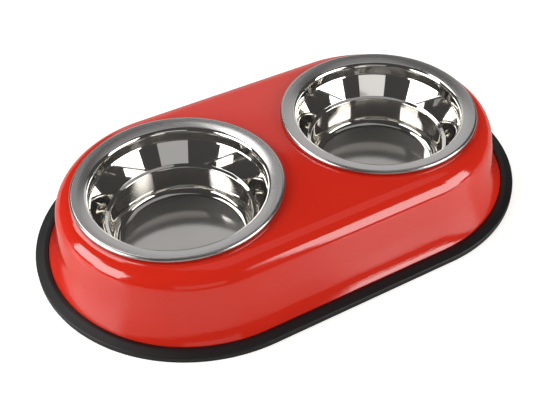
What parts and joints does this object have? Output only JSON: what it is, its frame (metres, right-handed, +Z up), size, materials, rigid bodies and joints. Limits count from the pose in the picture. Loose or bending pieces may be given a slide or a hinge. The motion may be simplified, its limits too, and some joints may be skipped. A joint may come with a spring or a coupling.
{
  "type": "double pet bowl",
  "caption": "Raised feeding stand of red pressed steel on a black rubber base ring, holding stainless bowls that lift out by their curled rims.",
  "frame": {"origin": "on the ground, under the middle of the stand", "axes": "+X along the length from the left bowl to the right bowl, +Z up, +Y away from the side that faces the picture's camera"},
  "size_m": [0.38, 0.2352, 0.0576],
  "materials": {
    "red_paint": "gloss red enamel baked on pressed steel",
    "black_rubber": "satin moulded rubber",
    "bowl_steel": "stainless steel, satin rim and floor, polished inside"
  },
  "bodies": {
    "base": {"stand": "red_paint", "base_ring": "black_rubber"},
    "left_bowl": {"left_bowl": "bowl_steel"},
    "right_bowl": {"right_bowl": "bowl_steel"}
  },
  "joints": [
    {"name": "left_bowl_lift", "type": "slide", "parent": "base", "child": "left_bowl", "axis": [0, 0, 1], "range_m": [0, 0.06]},
    {"name": "right_bowl_lift", "type": "slide", "parent": "base", "child": "right_bowl", "axis": [0, 0, 1], "range_m": [0, 0.06]}
  ]
}
